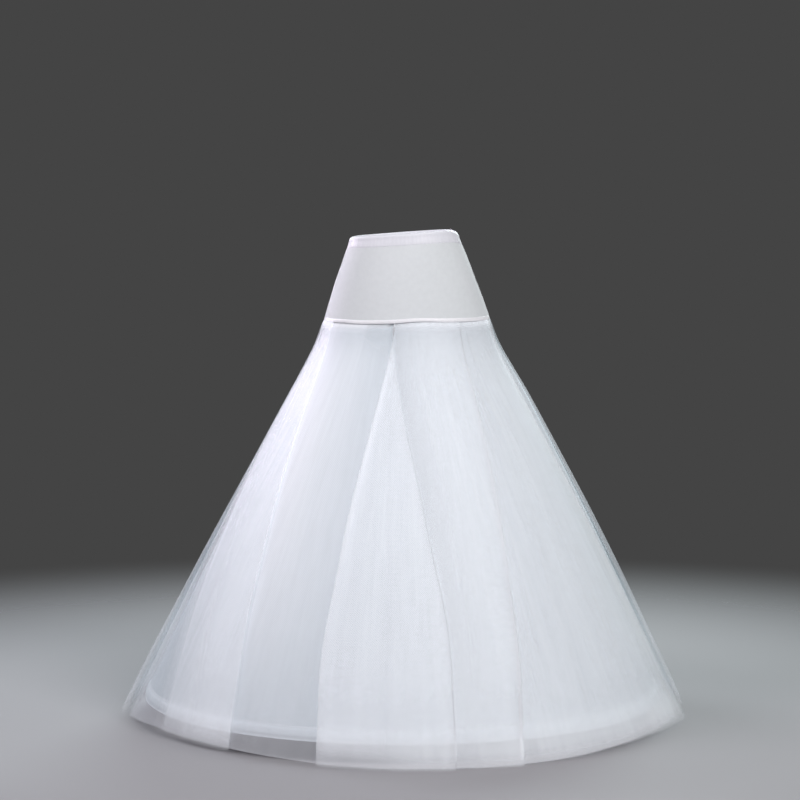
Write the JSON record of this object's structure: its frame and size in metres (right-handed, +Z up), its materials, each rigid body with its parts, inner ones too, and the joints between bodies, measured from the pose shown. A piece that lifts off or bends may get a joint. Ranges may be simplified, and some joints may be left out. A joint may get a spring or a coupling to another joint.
{
  "type": "hoop petticoat",
  "caption": "White A-line hoop petticoat: stretch yoke with an elastic waist, a lining held out by a hoop near the hem, and translucent tulle skirts laid in long folds, worn under a gown.",
  "frame": {"origin": "on the floor under the middle of the waist, where the hem stands", "axes": "+Z up through the waist, -Y the way the front faces, +X to the wearer's left"},
  "size_m": [1.167, 1.1623, 1.0079],
  "materials": {
    "elastic": "woven elastic, white",
    "band_knit": "stretch knit, white with a cool cast",
    "yoke_knit": "fine stretch knit, white, slightly lustrous",
    "binding": "narrow knit tape, white",
    "lining": "plain woven lining, white, matt",
    "casing_tape": "woven tape, white",
    "bone": "white plastic coating over spring steel",
    "sleeve": "white plastic sleeve",
    "under_tulle": "fine net, white, see-through",
    "outer_tulle": "fine net, white, see-through"
  },
  "bodies": {
    "root": {"waist_elastic": "elastic", "waistband": "band_knit", "yoke_front": "yoke_knit", "yoke_back": "yoke_knit", "yoke_binding": "binding", "lining_front": "lining", "lining_left": "lining", "lining_back": "lining", "lining_right": "lining", "hoop_casing": "casing_tape", "hoop_bone": "bone", "hoop_connector": "sleeve", "under_tulle_front": "under_tulle", "under_tulle_left": "under_tulle", "under_tulle_back": "under_tulle", "under_tulle_right": "under_tulle", "outer_tulle_front": "outer_tulle", "outer_tulle_back_left": "outer_tulle", "outer_tulle_back_right": "outer_tulle"}
  },
  "joints": []
}
